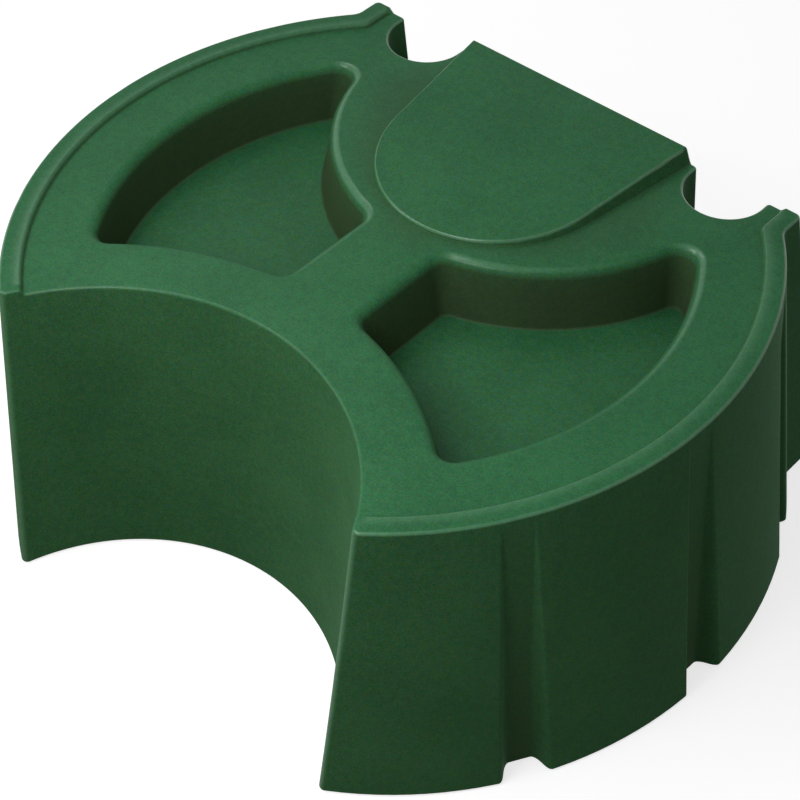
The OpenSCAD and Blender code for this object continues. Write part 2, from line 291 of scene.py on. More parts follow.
wear_and_painted_light[-len(edge_up):] = np.maximum(wear_and_painted_light[-len(edge_up):], across_edge(len(edge_up))[:, None] * rim_wear_and_highlight)
wear_and_painted_light[-1] = 0
wall_wear_and_painted_light = np.concatenate([wear_and_painted_light, wear_and_painted_light[:, -2:0:-1]], 1)


def grid_normals(points):
    """Cross product of the differences along a row, whose ends meet, and along a column,
    made one long."""
    n = np.cross(np.roll(points, -1, 1) - np.roll(points, 1, 1), np.gradient(points, axis=0))
    return n / np.maximum(np.linalg.norm(n, axis=-1, keepdims=True), 1e-12)


def grid_faces(n_rows, n_columns):
    """Two triangles for each cell of a grid, whose points are numbered row by row and whose
    last column joins the first."""
    i, j = np.meshgrid(np.arange(n_rows - 1), np.arange(n_columns), indexing="ij")
    k = (j + 1) % n_columns
    a, b, c, d = i * n_columns + j, i * n_columns + k, (i + 1) * n_columns + k, (i + 1) * n_columns + j
    return np.stack([np.stack([a, b, c], -1), np.stack([a, c, d], -1)], 2).reshape(-1, 3)


patches = []


def add_grid(points, keep=None, wear_and_painted_light=0.0):
    """Keeps a closed grid of points as one patch of the skin. keep says which cells are
    wanted, and the last argument how far each point is paled, as wear and painted highlight,
    up to 1 on an edge, or darkened as painted shade, below 0 in a groove."""
    faces = grid_faces(*points.shape[:2])
    if keep is not None:
        faces = faces[np.repeat(keep.reshape(-1), 2)]
    wear_and_painted_light = np.broadcast_to(wear_and_painted_light, points.shape[:2]).reshape(-1)
    patches.append((points.reshape(-1, 3), faces, grid_normals(points).reshape(-1, 3), wear_and_painted_light))


def is_inside(points, loop):
    """Even-odd rule: how many of the loop's edges a ray from each point to +X crosses."""
    x, y = points[:, 0, None], points[:, 1, None]
    a, b = loop, np.roll(loop, -1, 0)
    straddles = (a[:, 1] > y) != (b[:, 1] > y)
    slope = (b[:, 0] - a[:, 0]) / np.where(b[:, 1] == a[:, 1], 1, b[:, 1] - a[:, 1])
    return (np.sum(straddles & (x < a[:, 0] + (y - a[:, 1]) * slope), 1) % 2).astype(bool)


join_within, smallest_area = 1e-8, 1e-12


def fill(border, holes, lines=()):
    """Triangles of the flat region inside border and outside holes, with every line's points
    and edges in it, from a constrained Delaunay triangulation. Gives points and faces."""
    chains = [(border, True)] + [(h, True) for h in holes] + [(l, False) for l in lines if len(l) > 1]
    points = np.concatenate([c for c, _ in chains])
    edges, first = [], 0
    for chain, is_loop in chains:
        k = np.arange(len(chain))
        pairs = np.stack([k, (k + 1) % len(chain)], 1) + first
        edges.append(pairs if is_loop else pairs[:-1])
        first += len(chain)
    edges = np.concatenate(edges).tolist()
    made = delaunay_2d_cdt([Vector(p) for p in points], edges, [], 0, join_within, True)
    place = np.array([points[o[0]] if o else tuple(v) for v, o in zip(made[0], made[3])])
    faces = np.array([f for f in made[2] if len(f) == 3])
    a, b, c = place[faces[:, 0]], place[faces[:, 1]], place[faces[:, 2]]
    area = (b[:, 0] - a[:, 0]) * (c[:, 1] - a[:, 1]) - (b[:, 1] - a[:, 1]) * (c[:, 0] - a[:, 0])
    faces = np.where(area[:, None] < 0, faces[:, ::-1], faces)
    middle = (a + b + c) / 3
    wanted = is_inside(middle, border) & (np.abs(area) > smallest_area)
    for hole in holes:
        wanted &= ~is_inside(middle, hole)
    return place, faces[wanted]


# The rear wall's middle panel is left out of the wall's grid: the two bung pockets go there.
first, last = len(foot_up) - 1, rows - len(edge_up)
left, right = columns - 1 - stretches["centre"], columns - 1 + stretches["centre"]
kept = np.ones((rows - 1, wall.shape[1]), bool)
kept[first:last, left:right] = False
add_grid(wall, kept, wall_wear_and_painted_light)


# ---- Moulding, trays ----------------------------------------------------------------
# A dished tray on each side of the deck, for a hoof pick, gloves or a brush. Its sides lean
# in on their way down and roll over into the deck and the floor.

tray_depth = 0.076
tray_r, tray_spine_x = 0.349, 0.055
tray_pad_y, tray_pad_r, tray_bite_y, tray_bite_r = 0.274, 0.262, 0.515, 0.393
tray_edge_r, tray_floor_r, tray_corner_r = 0.0145, 0.0035, 0.021
outer_lean, inner_lean = np.arctan(0.009 / tray_depth), np.arctan(0.015 / tray_depth)


def tray_side(depth, lean):
    """How far a tray's side stands outside its straight run's top line at a depth: a rolled
    edge, a straight run that leans in, and a fillet on the floor."""
    bend = np.pi / 2 - lean
    top = tray_edge_r * (np.tan(bend / 2) - np.sin(np.arccos(np.clip(1 - depth / tray_edge_r, 0, 1))))
    left = np.maximum(tray_depth - depth, 0)
    floor = tray_floor_r * (np.sin(np.arccos(np.clip(1 - left / tray_floor_r, 0, 1))) - np.tan(bend / 2))
    floor, straight = floor - tray_depth * np.tan(lean), -depth * np.tan(lean)
    below = np.where(left < tray_floor_r * (1 - np.cos(bend)), floor, straight)
    return np.where(depth < tray_edge_r * (1 - np.cos(bend)), top, below)


def fractions(count):
    """Fractions from 0 that stop one step short of 1."""
    return np.arange(count) / count


def tray_loop(depth):
    """Closed loop round the right tray at each depth: the outer circle, the pad's circle, the
    straight spine and the bite's circle, with a rounded corner between each two."""
    out, inn = tray_side(depth, outer_lean)[:, None], tray_side(depth, inner_lean)[:, None]
    r, p, b, s = tray_r + out, tray_pad_r - inn, tray_bite_r - inn, tray_spine_x - inn
    c = tray_corner_r + np.where(inn > 0, inn, 0.45 * inn)
    ay, ax = side_point(r - c, p + c, tray_pad_y)
    dy, dx = side_point(r - c, b + c, tray_bite_y)
    dy = -dy
    x = s + c
    by = tray_pad_y - np.sqrt((p + c) ** 2 - x**2)
    cy = -tray_bite_y + np.sqrt((b + c) ** 2 - x**2)
    turn_a, turn_d = np.arctan2(ay, ax), np.arctan2(dy, dx)
    pad_a, pad_b = np.arctan2(ay - tray_pad_y, ax), np.arctan2(by - tray_pad_y, x)
    bite_c, bite_d = np.arctan2(cy + tray_bite_y, x), np.arctan2(dy + tray_bite_y, dx)
    pieces = [
        on_circle(0, 0, r, turn_d, turn_a, fractions(44)),
        on_circle(ax, ay, c, turn_a, np.arctan2(tray_pad_y - ay, -ax), fractions(16)),
        on_circle(0, tray_pad_y, p, pad_a, pad_b, fractions(40)),
        on_circle(x, by, c, np.arctan2(tray_pad_y - by, -x), np.pi, fractions(12)),
        between((s, by), (s, cy), fractions(10)),
        on_circle(x, cy, c, np.pi, np.arctan2(-tray_bite_y - cy, -x) + 2 * np.pi, fractions(12)),
        on_circle(0, -tray_bite_y, b, bite_c, bite_d, fractions(26)),
        on_circle(dx, dy, c, np.arctan2(-tray_bite_y - dy, -dx) + 2 * np.pi, turn_d + 2 * np.pi, fractions(16)),
    ]
    flat = np.concatenate([np.stack(np.broadcast_arrays(*piece), -1) for piece in pieces], 1)
    return np.concatenate([flat, np.broadcast_to((deck_z - depth)[:, None, None], flat.shape[:2] + (1,))], -1)


turn = np.linspace(0, 1, 10)
roll = tray_edge_r * (1 - np.cos(turn * (np.pi / 2 - inner_lean)))
dish = tray_depth - tray_floor_r * (1 - np.cos(turn[::-1] * (np.pi / 2 - inner_lean)))
tray = tray_loop(np.concatenate([roll, [0.032, 0.045, 0.058], dish]))
tray_left = tray[:, ::-1] * [-1, 1, 1]

# Wear and painted light: a rolled rim is paled and glossed most where it faces the front, the
# side that catches the highlight, partly as wear and partly as painted highlight; painted shade
# darkens the sides below it and thins out on the floor.
roll_rows, tray_side_painted_shade, tray_floor_painted_shade = 7, -0.65, -0.10
under_roll, over_floor = np.linspace(0, -0.5, 4)[1:], np.linspace(-0.4, tray_floor_painted_shade, 4)
side_rows = len(tray) - roll_rows - len(under_roll) - len(over_floor)
tray_painted_shade = np.concatenate([under_roll, np.full(side_rows, tray_side_painted_shade), over_floor])[:, None]
# The side that catches the highlight: rims that face it are paled and glossed most, as painted highlight.
highlight_side, rim_least, rim_most = (-0.35, -0.94), 0.25, 0.90
for side in (tray, tray_left):
    inward = side[roll_rows - 1, :, :2] - side[0, :, :2]
    inward /= np.linalg.norm(inward, axis=1, keepdims=True)
    rubbed = rim_least + (rim_most - rim_least) * np.clip(inward @ highlight_side, 0, 1)
    add_grid(side, wear_and_painted_light=np.concatenate([across_edge(roll_rows)[:, None] * rubbed, tray_painted_shade + 0 * rubbed]))
    place, faces = fill(side[-1, :, :2], [])
    flat = np.concatenate([place, np.full((len(place), 1), deck_z - tray_depth)], 1)
    patches.append((flat, faces, np.tile([0.0, 0.0, 1.0], (len(flat), 1)), np.full(len(flat), tray_floor_painted_shade)))


bite_margin, rear_margin = 0.0125, 0.0095


def lip_line(offset):
    """The lip's inner line moved outwards: circle, fillet and straight run, cut off short of
    the bite and of the rear."""
    r, flank = lip_r + offset, lip_flank_x + offset
    front, side = side_point(r, bite_r + bite_margin, bite_y)
    bend = np.arctan2(lip_corner[1], lip_corner[0])
    runs = [
        on_circle(0, 0, r, np.arctan2(-front, side), bend, fractions(150)),
        on_circle(lip_corner[0], lip_corner[1], lip_blend_r - offset, bend + np.pi, np.pi, fractions(8)),
        between((flank, lip_corner[1]), (flank, rear_y - rear_margin), np.linspace(0, 1, 5)),
    ]
    return np.concatenate([np.stack(np.broadcast_arrays(*run), -1) for run in runs])


def pad_line(inside):
    """The pad's foot moved inwards, from one rear end round the front to the other."""
    reach = (rear_y - rear_margin - pad_y - (pad_r - inside) * np.sin(pad_side)) / np.cos(pad_side)
    foot = np.array([(pad_r - inside) * np.cos(pad_side), pad_y + (pad_r - inside) * np.sin(pad_side)])
    away = np.array([-np.sin(pad_side), np.cos(pad_side)])
    side = foot + away * (np.linspace(1, 0, 24, endpoint=False) * reach)[:, None]
    t = np.linspace(0, 1, 120)
    front = np.stack(on_circle(0, pad_y, pad_r - inside, pad_side, -np.pi - pad_side, t), -1)
    return np.concatenate([side, front, side[::-1] * [-1, 1]])


# Lines for the triangles to follow, close together where the deck bends.
foot_lines = np.arange(0.0002, 0.0045, 0.0006)
top_lines = np.arange(0.0048, 0.0110, 0.0008)
lines = [pad_line(inside) for inside in np.concatenate([[-0.0012, -0.0004], foot_lines, top_lines])]
for offset in (-0.0036, -0.0028, -0.0020, -0.0012, -0.0003, 0.0005, 0.0013, 0.0021, 0.0030):
    lines += [lip_line(offset), lip_line(offset) * [-1, 1]]
place, faces = fill(wall[-1, :, :2], [tray[0, :, :2], tray_left[0, :, :2]], lines)


def deck_slope(x, y, dx, dy):
    """The deck's slope along a short step in x or in y: the rise from one step before a
    point to one step after it, over two steps."""
    return (deck_height(x + dx, y + dy) - deck_height(x - dx, y - dy)) / (2 * (dx + dy))


def deck_bend(x, y, reach):
    """How much the deck turns down at a point, as the height there less the mean of four
    heights round it, over the square of their distance."""
    ring = sum(deck_height(x + a * reach, y + b * reach) for a, b in ((1, 0), (-1, 0), (0, 1), (0, -1)))
    return (deck_height(x, y) - ring / 4) / reach**2


x, y = place.T
step, bend_reach, full_bend, deck_crease_painted_shade = 2e-5, 0.0004, 240, -0.3
normals = np.stack([-deck_slope(x, y, step, 0), -deck_slope(x, y, 0, step), np.ones(len(place))], 1)
normals /= np.linalg.norm(normals, axis=1, keepdims=True)
# Convex bends are paled as wear and painted highlight; concave creases, as at the pad's foot, are darkened as
# painted shade.
wear_and_painted_light = np.clip(deck_bend(x, y, bend_reach) / full_bend, deck_crease_painted_shade, 1)
patches.append((np.stack([x, y, deck_height(x, y)], 1), faces, normals, wear_and_painted_light))


# ---- Moulding, underside ------------------------------------------------------------
# The block is closed underneath. Eight round pockets hold the rubber feet, and a bore above
# each holds its threaded insert.

pocket_r, pocket_top, pocket_edge_r, pocket_corner = 0.0303, 0.012, 0.0012, 0.0008
bore_r, bore_top = 0.00655, 0.038
feet = {name: (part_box(name)[0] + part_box(name)[1]) / 2 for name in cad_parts
        if name.startswith("foot_") and name not in ("foot_inserts", "foot_screws", "foot_washers")}


def turned(radius, height, count):
    """A profile of radii and heights turned about +Z: one row for each point of the profile
    and one column for each angle."""
    a = np.arange(count) * 2 * np.pi / count
    radius, height = np.asarray(radius, float)[:, None], np.asarray(height, float)[:, None]
    return np.stack([radius * np.cos(a), radius * np.sin(a), height + 0 * a], -1)


def cap(ring, facing):
    """A bore's flat end: a fan of triangles from a ring's centre to its points, with one
    direction as every point's normal."""
    n = len(ring)
    k = np.arange(n)
    points = np.concatenate([ring, ring.mean(0, keepdims=True)])
    return points, np.stack([np.full(n, n), (k + 1) % n, k], 1), np.tile(facing, (n + 1, 1))


holes = []
for middle in feet.values():
    turn = np.linspace(0, np.pi / 2, 4)
    radius = np.concatenate([pocket_r + pocket_edge_r * (1 - np.sin(turn)),
                             [pocket_r, pocket_r - pocket_corner, bore_r, bore_r]])
    height = np.concatenate([ground_z + pocket_edge_r * (1 - np.cos(turn)),
                             [pocket_top - pocket_corner, pocket_top, pocket_top, bore_top]])
    pocket = turned(radius, height, 72) + [middle.x, middle.y - middle_y, 0]
    add_grid(pocket[:, ::-1])
    patches.append(cap(pocket[-1], [0.0, 0.0, -1.0]))
    holes.append(pocket[0, :, :2])
place, faces = fill(wall[0, :, :2], holes)
flat = np.concatenate([place, np.full((len(place), 1), ground_z)], 1)
patches.append((flat, faces[:, ::-1], np.tile([0.0, 0.0, -1.0], (len(flat), 1))))


# ---- Moulding, bung pockets ---------------------------------------------------------
# Water or sand goes in at the upper bung for weight, and out at the lower one. Each head
# sits in a round pocket, whose floor is square to the bung's axis.

port_r, port_edge_r, port_corner, socket_r, socket_l = 0.0325, 0.0025, 0.001, 0.02705, 0.0242
under_seal, around = 0.0001, 96
ports = {name: (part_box(name + "_bung")[0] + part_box(name + "_bung")[1]) / 2 for name in ("filler", "drain")}
floors = {name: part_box(name + "_seal")[0].y - under_seal - middle_y for name in ports}


def rear_at(z):
    """The rear wall's distance from the drum's axis at a height."""
    return rear_y + rear_lean * fall(z)


frame_loop = np.concatenate([
    wall[first, left:right], wall[first:last, right],
    wall[last, left + 1:right + 1][::-1], wall[first + 1:last + 1, left][::-1],
])
rings = []
for name, middle in ports.items():
    turn = np.linspace(0, np.pi / 2, 6)
    radius = np.concatenate([port_r + port_edge_r * (1 - np.sin(turn)),
                             [port_r, port_r, port_r - port_corner, socket_r, socket_r]])
    in_plan = turned(radius, 0 * radius, around)
    x, z = in_plan[..., 0], in_plan[..., 1] + middle.z
    sunk = np.concatenate([port_edge_r * (1 - np.cos(turn)), np.zeros(5)])[:, None]
    y = rear_at(z) - sunk
    floor = floors[name]
    bend_end = len(turn)
    y[bend_end:] = np.array([0, floor + port_corner, floor, floor, floor - socket_l])[:, None]
    y[bend_end] = (y[bend_end - 1] + floor + port_corner) / 2
    well = np.stack([x, y, z], -1)
    add_grid(well)
    patches.append(cap(well[-1], [0.0, 1.0, 0.0]))
    rings.append(well[0])
place, faces = fill(frame_loop[:, [0, 2]], [ring[:, [0, 2]] for ring in rings])
panel = np.stack([place[:, 0], rear_at(place[:, 1]), place[:, 1]], 1)
edge = np.concatenate([frame_loop] + rings)
panel[:len(edge)] = edge
tilt = np.array([0, 1, rear_lean / lip_top]) / np.hypot(1, rear_lean / lip_top)
patches.append((panel, faces[:, ::-1], np.tile(tilt, (len(panel), 1))))


def make_mesh(name, parts, move=(0, 0, 0)):
    """One object from patches of points, triangles, normals and wear with painted light: points
    that agree to a micrometre are joined, their normals added, and triangles that have shrunk
    to nothing dropped. Attributes keep each point's wear with painted highlight and painted
    shade, and how far up it faces."""
    first, all_faces = 0, []
    for points, faces, *_ in parts:
        all_faces.append(faces + first)
        first += len(points)
    points = np.concatenate([part[0] for part in parts])
    normals = np.concatenate([part[2] for part in parts])
    wear_and_painted_light = np.concatenate([part[3] if len(part) > 3 else np.zeros(len(part[0])) for part in parts])
    faces = np.concatenate(all_faces)
    rounded_off = np.round(points * 1e6).astype(np.int64)
    _, kept, where = np.unique(rounded_off, axis=0, return_index=True, return_inverse=True)
    where = where.reshape(-1)
    joined = np.zeros((len(kept), 3))
    np.add.at(joined, where, normals)
    joined /= np.maximum(np.linalg.norm(joined, axis=1, keepdims=True), 1e-9)
    faces = where[faces]
    faces = faces[(faces[:, 0] != faces[:, 1]) & (faces[:, 1] != faces[:, 2]) & (faces[:, 2] != faces[:, 0])]
    mesh = bpy.data.meshes.new(name)
    mesh.vertices.add(len(kept))
    mesh.vertices.foreach_set("co", (points[kept] + move).astype(np.float32).reshape(-1))
    mesh.loops.add(faces.size)
    mesh.loops.foreach_set("vertex_index", faces.astype(np.int32).reshape(-1))
    mesh.polygons.add(len(faces))
    mesh.polygons.foreach_set("loop_start", np.arange(0, faces.size, 3, dtype=np.int32))
    mesh.update(calc_edges=True)
    mesh.shade_smooth()
    mesh.normals_split_custom_set_from_vertices(joined.tolist())
    for key, values in (("wear_and_painted_light", wear_and_painted_light[kept]), ("upward", joined[:, 2])):
        mesh.attributes.new(key, "FLOAT", "POINT").data.foreach_set("value", values.astype(np.float32))
    piece = bpy.data.objects.new(name, mesh)
    bpy.context.scene.collection.objects.link(piece)
    return piece


moulding = make_mesh("moulding", patches, (0, middle_y, 0))


# ---- Moulding, finish ---------------------------------------------------------------
# Green polyethylene powder melts on the inside of the mould. The skin has a fine grain from
# the blasted mould, a slow ripple, cloudy pigment, and pale scuffs where boots have been.


class Wire:
    """A socket's value in a material's tree: sums, products and the like add Math nodes."""

    def __init__(self, tree, socket=None):
        self.tree, self.socket = tree, socket

    def node(self, kind, settings, inputs, output=0):
        """Any node: its settings first, then a value or a link for each of its sockets."""
        made = self.tree.nodes.new(kind)
        for key, value in settings.items():
            setattr(made, key, value)
        for key, value in inputs.items():
            if isinstance(value, Wire):
                self.tree.links.new(value.socket, made.inputs[key])
            else:
                made.inputs[key].default_value = value
        return Wire(self.tree, made.outputs[output])

    def maths(self, operation, *others):
        return self.node("ShaderNodeMath", {"operation": operation}, dict(enumerate(others)))

    def __add__(self, other):
        return self.maths("ADD", self, other)

    def __rsub__(self, other):
        return self.maths("SUBTRACT", other, self)

    def __mul__(self, other):
        return self.maths("MULTIPLY", self, other)

    def step(self, low, high):
        """0 below low, 1 above high, and a smooth rise between."""
        return self.node("ShaderNodeMapRange", {"interpolation_type": "SMOOTHSTEP"},
                         {"Value": self, "From Min": low, "From Max": high})

    def noise(self, place, scale, detail, rough, output="Fac"):
        return self.node("ShaderNodeTexNoise", {},
                         {"Vector": place, "Scale": scale, "Detail": detail, "Roughness": rough}, output)

    def vector(self, operation, *others):
        """Vector Math on three numbers at a time, which suits colours too."""
        return self.node("ShaderNodeVectorMath", {"operation": operation}, dict(enumerate(others)))

    def attribute(self, name):
        """A value that make_mesh has kept at each point."""
        return self.node("ShaderNodeAttribute", {"attribute_name": name}, {}, "Fac")

    def mixed(self, factor, one, other):
        """One colour turning into the other as the factor goes from 0 to 1."""
        return self.node("ShaderNodeMix", {"data_type": "RGBA"}, {0: factor, 6: one, 7: other}, 2)

    def bumps(self, heights):
        """Bump nodes one behind another, each with a height's value and its size in metres."""
        normal = None
        for height, size in heights:
            inputs = {"Height": height, "Distance": size, "Strength": 1.0}
            if normal:
                inputs["Normal"] = normal
            normal = self.node("ShaderNodeBump", {}, inputs)
        return normal


def finish(name):
    """A new material: its tree, its shader and the object's own coordinates."""
    made = bpy.data.materials.new(name)
    made.use_nodes = True
    tree = made.node_tree
    shader = tree.nodes["Principled BSDF"]
    wire = Wire(tree)
    place = wire.node("ShaderNodeTexCoord", {}, {}, "Object")
    return made, wire, shader, place


def connect(shader, **links):
    for key, value in links.items():
        socket = shader.inputs[key.replace("_", " ").title()]
        if isinstance(value, Wire):
            value.tree.links.new(value.socket, socket)
        else:
            socket.default_value = value


def moulded_green(name, dark, light, scuffs):
    """Rotationally moulded polyethylene: cloudy pigment between two greens with a speckle in
    each of red, green and blue, specks of powder that stayed pale, a top that boots and
    sun have polished, rough walls tinted darker and warmer as painted shade, edges paled as
    wear and painted highlight, painted shade in the grooves, grain and ripple as bumps, and scuffs in a few
    places."""
    made, wire, shader, place = finish(name)
    cloud = wire.noise(place, 9.0, 3.0, 0.55)
    mottle = wire.noise(place, 120.0, 4.0, 0.65)
    grain = wire.noise(place, 1500.0, 2.0, 0.6)
    ripple = wire.noise(place, 75.0, 1.5, 0.5)
    wear_and_painted_light = wire.attribute("wear_and_painted_light")
    upward = wire.attribute("upward").step(0.25, 0.95)
    body = wire.mixed((cloud * 0.45 + mottle * 0.55).step(0.32, 0.68), dark, light)
    speckle = wire.noise(place, 440.0, 1.0, 0.5, "Color")
    speckle = wire.vector("MULTIPLY_ADD", speckle, (2.6, 0.8, 2.6), (-0.3, 0.6, -0.3))
    body = wire.vector("MULTIPLY", body, speckle)
    # Painted shade: surfaces that face sideways are tinted darker and warmer than the top.
    body = wire.mixed(upward, wire.vector("MULTIPLY", body, wall_painted_shade_tint), body)
    speck = wire.node("ShaderNodeTexVoronoi", {"feature": "F1"},
                      {"Vector": place, "Scale": 420.0, "Randomness": 1.0})
    pale = tuple(min(1.0, 1.5 * c + 0.006) for c in light[:3]) + (1,)
    body = wire.mixed((1 - speck.step(0.06, 0.22)) * 0.22, body, pale)
    # Edges are paled, partly as wear and partly as painted highlight.
    edge = wear_and_painted_light.step(0.15, 1.0)
    body = wire.mixed(edge * (mottle * 0.8 + 0.1), body, pale)
    # Painted shade: grooves, creases, the flutes' floors and the trays' sides turn dark brown.
    painted_shade_amount = wire.maths("MAXIMUM", wear_and_painted_light * -1, 0.0) * 0.9
    body = wire.mixed(painted_shade_amount, body, (0.034, 0.034, 0.014, 1))
    stretched = wire.node("ShaderNodeMapping", {},
                          {"Vector": place, "Rotation": (0.3, 0.5, 0.9), "Scale": (70.0, 7.0, 26.0)})
    here = wire.noise(place, 5.0, 1.0, 0.5).step(0.56, 0.68)
    rubbed = wire.noise(stretched, 1.0, 5.0, 0.7).step(0.66, 0.80) * here * scuffs
    body = wire.mixed(rubbed, body, (0.10, 0.20, 0.13, 1))
    rough = (1 - upward) * 0.38 + mottle * 0.10 + rubbed * 0.15 + edge * -0.10 + 0.38
    normal = wire.bumps([(ripple, 0.00030), (mottle, 0.00012), (grain, 0.00006)])
    connect(shader, base_color=body, roughness=rough, coat_weight=edge * 0.8, normal=normal)
    shader.inputs["Coat Roughness"].default_value = 0.25
    shader.inputs["Specular IOR Level"].default_value = 0.10
    return made


# Painted shade for surfaces that face sideways: redder and a little darker than the top.
wall_painted_shade_tint = (1.30, 0.93, 0.91)
green = moulded_green("moulded_green", (0.0185, 0.0980, 0.0370, 1), (0.0270, 0.1290, 0.0500, 1), 0.35)
moulding.data.materials.append(green)
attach(moulding, "block")
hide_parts("block_body")


# ---- Threaded sockets ---------------------------------------------------------------
# A turned brass ring with an inside thread and a flange, laid in the mould before the powder
# so that the plastic grips it. One stands behind each bung.

thread_pitch, thread_end, thread_step, socket_thread = 0.005, 0.0008, 0.0005, 0.0007
socket_length, flange_top, flange_foot = 0.0229, -0.0092, -0.0138
bore_mouth_r, thread_r, ring_r, flange_r = 0.0234, 0.0227, 0.0270, 0.0310

# turned() works about +Z, and this order of the axes lays its profile along +Y instead.
to_rear = [1, 2, 0]


def rounded(corners, r, closed=True, steps=4):
    """A profile with its corners cut: each gives way to points of the parabola that leaves
    one side a length r before it and meets the other r after it. An open profile keeps its
    two ends."""
    corners = np.asarray(corners, float)
    before, after = np.roll(corners, 1, 0) - corners, np.roll(corners, -1, 0) - corners
    lb, la = np.linalg.norm(before, axis=1), np.linalg.norm(after, axis=1)
    cut = np.minimum(r, 0.42 * np.minimum(lb, la))[:, None]
    if not closed:
        cut[0] = cut[-1] = 0
    start, end = corners + before / lb[:, None] * cut, corners + after / la[:, None] * cut
    t = np.linspace(0, 1, steps)[:, None, None]
    points = ((1 - t) ** 2 * start + 2 * t * (1 - t) * corners + t**2 * end).transpose(1, 0, 2).reshape(-1, 2)
    return points if closed else points[steps - 1:-(steps - 1)]


def thread(height, start, size):
    """How far a thread stands out: a flat-topped wave, once in each pitch along the axis and
    once round it, so that a turn of the bung carries it along by one pitch. It fades in
    over the first three rows and out over the last three."""
    ends = np.minimum(np.arange(len(height)), np.arange(len(height))[::-1])
    wave = np.clip(1.6 * np.cos(2 * np.pi * (height[:, None] - start) / thread_pitch - angle), -1, 1)
    return size * np.minimum(ends / 3, 1)[:, None] * wave


def ring_patch(points):
    """One patch of a profile that comes back to its start, turned into a ring."""
    round_it, along_profile = [np.roll(points, -1, axis) - np.roll(points, 1, axis) for axis in (1, 0)]
    n = np.cross(round_it, along_profile)
    n /= np.maximum(np.linalg.norm(n, axis=-1, keepdims=True), 1e-12)
    looped, normals = np.concatenate([points, points[:1]]), np.concatenate([n, n[:1]])
    return looped.reshape(-1, 3), grid_faces(*looped.shape[:2]), normals.reshape(-1, 3)


def metal(name, colour, rough, streaks):
    """Metal with the grain that a cutter or a die leaves: roughness and a faint bump follow
    thin streaks, and dull spots stand for handling and damp."""
    made, wire, shader, place = finish(name)
    line = wire.noise(wire.node("ShaderNodeMapping", {}, {"Vector": place, "Scale": streaks}), 1.0, 3.0, 0.6)
    spots = wire.noise(place, 160.0, 3.0, 0.6).step(0.45, 0.75)
    dull = tuple(0.6 * c for c in colour[:3]) + (1,)
    connect(shader, base_color=wire.mixed(spots * 0.5, colour, dull), metallic=1.0,
            roughness=line * 0.12 + spots * 0.18 + rough, normal=wire.bumps([(line, 0.00003)]))
    return made


brass = metal("turned_brass", (0.62, 0.42, 0.16, 1), 0.26, (300.0, 2600.0, 300.0))
angle = np.arange(around) * 2 * np.pi / around
for name, middle in ports.items():
    bore = np.arange(-thread_end, thread_end - socket_length, -thread_step)
    outside = rounded([(bore_mouth_r, -socket_length), (ring_r, -socket_length), (ring_r, flange_foot),
                       (flange_r, flange_foot), (flange_r, flange_top), (ring_r, flange_top),
                       (ring_r, 0), (bore_mouth_r, 0)], 0.0004, False)
    profile = np.concatenate([outside, np.stack([np.full(len(bore), thread_r), bore], 1)])
    ring = turned(profile[:, 0], profile[:, 1], around)
    wave = thread(bore, 0, socket_thread)
    ring[len(outside):, :, 0] += wave * np.cos(angle)
    ring[len(outside):, :, 1] += wave * np.sin(angle)
    at = (middle.x, floors[name] + middle_y, middle.z)
    socket = make_mesh(name + "_socket_ring", [ring_patch(ring[..., to_rear])], at)
    socket.data.materials.append(brass)
    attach(socket, "block")
    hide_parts(name + "_socket")


# ---- Seals --------------------------------------------------------------------------
# A flat ring of black rubber under each bung's head. It is pressed on the pocket's floor when
# the bung is tight, and comes out with it.


def black_rubber(name, bloom):
    """Moulded rubber: nearly black, with a grey bloom in patches, a fine grain and a soft
    ripple."""
    made, wire, shader, place = finish(name)
    patch = wire.noise(place, 60.0, 4.0, 0.6)
    grain = wire.noise(place, 1400.0, 2.0, 0.6)
    body = wire.mixed(patch.step(0.35, 0.75), (0.016, 0.016, 0.016, 1), bloom)
    connect(shader, base_color=body, roughness=patch * 0.15 + 0.62,
            normal=wire.bumps([(patch, 0.0002), (grain, 0.00006)]))
    return made


seal_gap = 0.00005
seal_rubber = black_rubber("seal_rubber", (0.030, 0.030, 0.031, 1))
for name in ports:
    low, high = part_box(name + "_seal")
    outer, middle = (high.x - low.x) / 2, (low + high) / 2
    thick = high.y - low.y - 2 * seal_gap
    flat = rounded([(outer - 0.007, 0), (outer, 0), (outer, thick), (outer - 0.007, thick)], 0.0009, steps=6)
    ring = turned(flat[:, 0], flat[:, 1], around)
    at = (middle.x, low.y + seal_gap, middle.z)
    seal = make_mesh(name + "_seal_ring", [ring_patch(ring[..., to_rear])], at)
    seal.data.materials.append(seal_rubber)
    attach(seal, name + "_seal_ring")
    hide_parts(name + "_seal")


# ---- Bungs --------------------------------------------------------------------------
# Injection-moulded plugs: a scalloped head for the fingers, a square socket for a key, a
# sunk ring that keeps the head's thickness even, and a coarse thread on the shank.

